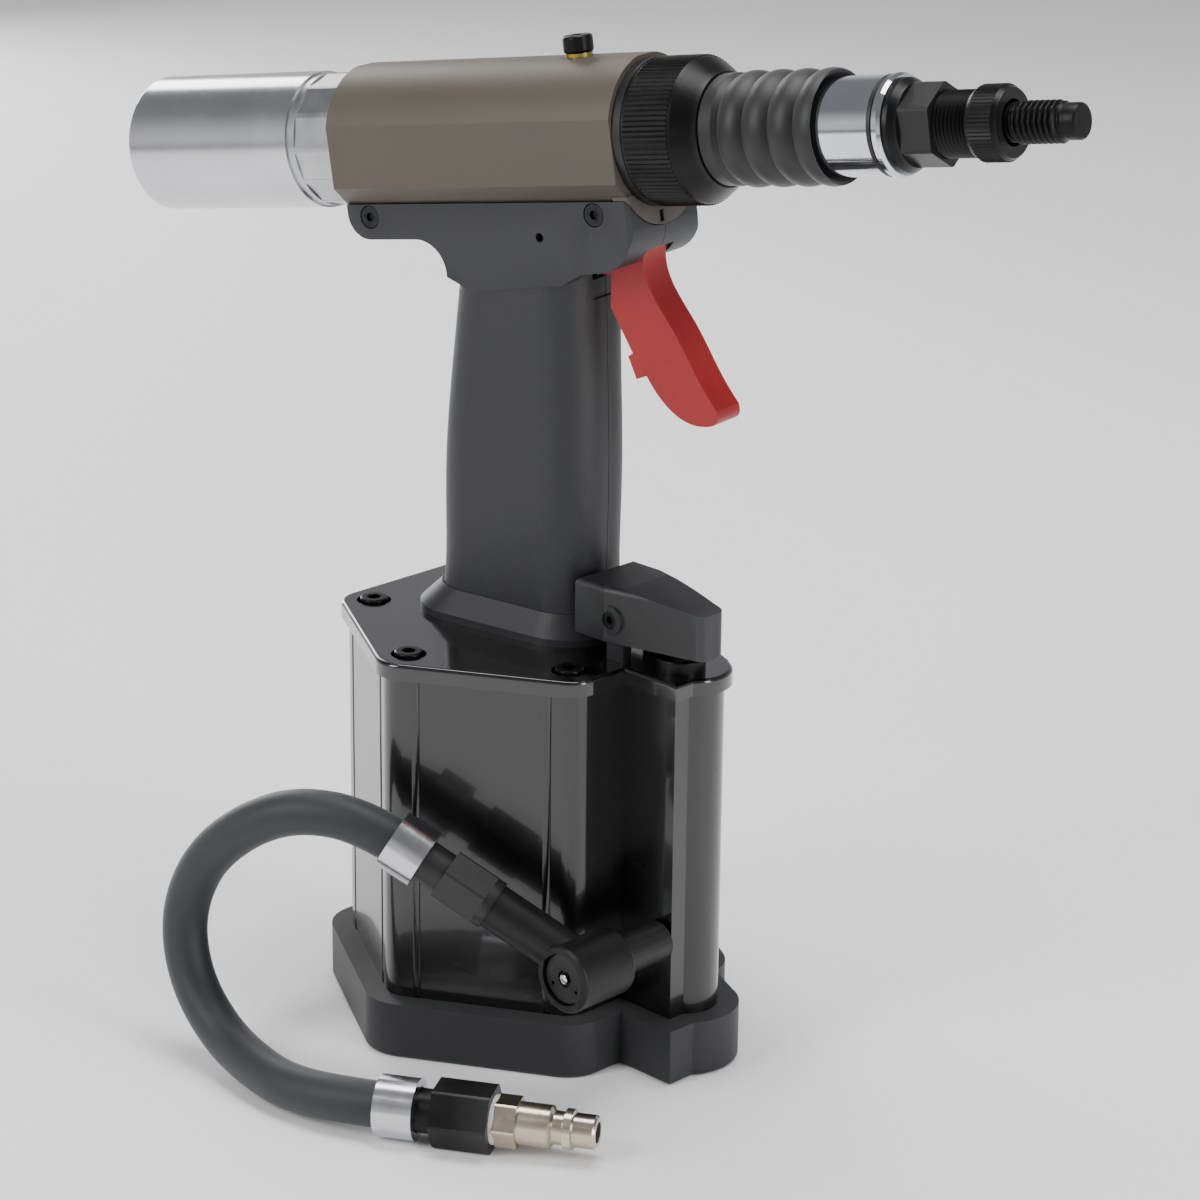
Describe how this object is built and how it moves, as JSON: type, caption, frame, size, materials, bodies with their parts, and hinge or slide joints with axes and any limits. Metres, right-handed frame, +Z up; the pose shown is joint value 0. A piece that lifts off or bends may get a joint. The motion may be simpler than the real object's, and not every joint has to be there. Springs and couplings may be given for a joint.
{
  "type": "pneumatic rivet nut gun",
  "caption": "Upright hydro-pneumatic rivet nut gun: hexagonal air cylinder base, pistol grip with trigger, tilted barrel with threaded mandrel, swivel whip hose and air plug.",
  "frame": {"origin": "on the floor under the base, on the axis of the air cylinder", "axes": "+Z up along the air cylinder; +X towards the nose, in the vertical plane of the barrel; +Y to the left of the tool seen from behind it"},
  "size_m": [0.3308, 0.1801, 0.3151],
  "materials": {
    "boot_rubber": "matte black moulded rubber",
    "painted_black": "glossy black paint on aluminium",
    "grip_plastic": "matte charcoal moulded nylon",
    "cover_plastic": "matte dark grey moulded plastic",
    "trigger_red": "matte red moulded plastic",
    "body_grey": "grey-taupe anodised cast aluminium",
    "polished_aluminium": "bright turned and polished aluminium",
    "black_steel": "black oxide steel, semi-gloss",
    "chrome": "bright chrome plate",
    "bellows_rubber": "matte black rubber",
    "brass": "dull brass",
    "zinc": "bright zinc-plated steel",
    "nickel": "satin nickel plate with a warm tint",
    "swivel_grey": "dark grey die casting",
    "hose_rubber": "matte blue-black rubber",
    "white_plastic": "white nylon sealing washer",
    "steel": "plain ground steel",
    "seal_rubber": "black nitrile rubber"
  },
  "bodies": {
    "housing": {"base_boot": "boot_rubber", "bottom_plate": "painted_black", "air_cylinder": "painted_black", "top_plate": "painted_black", "top_screws": "black_steel", "air_spring": "steel", "ram_gland": "brass", "valve_sleeve": "polished_aluminium", "valve_plug": "black_steel", "rocker_pin": "black_steel", "valve_cover": "cover_plastic", "inlet_pipe": "swivel_grey", "swivel_retainer": "swivel_grey", "grip_left": "grip_plastic", "grip_right": "grip_plastic", "grip_screws": "black_steel", "pressure_tube": "steel", "trigger_pin": "steel", "head_body": "body_grey", "rear_collar": "polished_aluminium", "rear_sleeve": "polished_aluminium", "rear_end_cap": "polished_aluminium", "motor_cylinder": "steel", "motor_end_plates": "steel", "motor_bearings": "steel", "head_gland": "brass", "head_gasket": "seal_rubber", "head_cap": "black_steel", "nose_bellows": "bellows_rubber", "nose_sleeve": "chrome", "nose_oring": "seal_rubber", "nose_housing": "black_steel", "nose_lock_nut": "black_steel", "nosepiece": "black_steel", "bleed_screw": "black_steel", "bleed_washer": "brass"},
    "trigger_lever": {"trigger": "trigger_red"},
    "pull_rod": {"trigger_rod": "steel"},
    "rocker": {"valve_rocker": "steel"},
    "valve": {"valve_stem": "steel"},
    "air_ram": {"air_piston": "polished_aluminium", "air_piston_seal": "seal_rubber", "ram": "steel", "piston_nut": "zinc"},
    "puller": {"hydraulic_piston": "steel", "hydraulic_seal": "seal_rubber", "pull_tube": "steel", "piston_spring": "steel"},
    "spindle": {"drive_spindle": "steel", "mandrel": "black_steel"},
    "rotor": {"motor_rotor": "steel", "motor_vanes": "cover_plastic"},
    "hose_set": {"swivel_body": "swivel_grey", "hose_nut": "swivel_grey", "hose_barb": "swivel_grey", "hose_ferrules": "zinc", "hose": "hose_rubber", "adaptor": "black_steel", "sealing_washer": "white_plastic", "air_plug": "nickel"}
  },
  "joints": [
    {"name": "trigger_pull", "type": "hinge", "parent": "housing", "child": "trigger_lever", "pos_m": [0.041, 0, 0.2535], "axis": [0, 1, 0], "range_deg": [0, 10], "stiffness_Nm_per_rad": 0.5},
    {"name": "rod_lift", "type": "slide", "parent": "housing", "child": "pull_rod", "axis": [0, 0, 1], "range_m": [0, 0.00289]},
    {"name": "rocker_tilt", "type": "hinge", "parent": "housing", "child": "rocker", "pos_m": [0.04645, -0.00719, 0.141], "axis": [0.153, 0.9882, 0], "range_deg": [0, 7.61]},
    {"name": "valve_press", "type": "slide", "parent": "housing", "child": "valve", "axis": [0, 0, -1], "range_m": [0, 0.00261]},
    {"name": "air_stroke", "type": "slide", "parent": "housing", "child": "air_ram", "axis": [0, 0, 1], "range_m": [0, 0.05], "deforming": ["air_spring"]},
    {"name": "pull_stroke", "type": "slide", "parent": "housing", "child": "puller", "axis": [0.9874, 0, 0.1582], "range_m": [-0.0071, 0]},
    {"name": "rotor_spin", "type": "hinge", "parent": "housing", "child": "rotor", "pos_m": [-0.10599, 0, 0.26162], "axis": [0.9874, 0, 0.1582], "continuous": true},
    {"name": "spindle_spin", "type": "hinge", "parent": "puller", "child": "spindle", "pos_m": [0.0125, 0, 0.2806], "axis": [0.9874, 0, 0.1582], "continuous": true},
    {"name": "hose_swing", "type": "hinge", "parent": "housing", "child": "hose_set", "pos_m": [0.06122, -0.05097, 0.0435], "axis": [0.153, 0.9882, 0], "range_deg": [0, 20]}
  ],
  "couplings": [
    {"joint": "rod_lift", "follows": "trigger_pull", "m_per_rad": 0.0165},
    {"joint": "rocker_tilt", "follows": "trigger_pull", "ratio": 0.76},
    {"joint": "valve_press", "follows": "trigger_pull", "m_per_rad": 0.0149},
    {"joint": "pull_stroke", "follows": "air_stroke", "ratio": -0.14},
    {"joint": "spindle_spin", "follows": "rotor_spin", "ratio": 1}
  ]
}
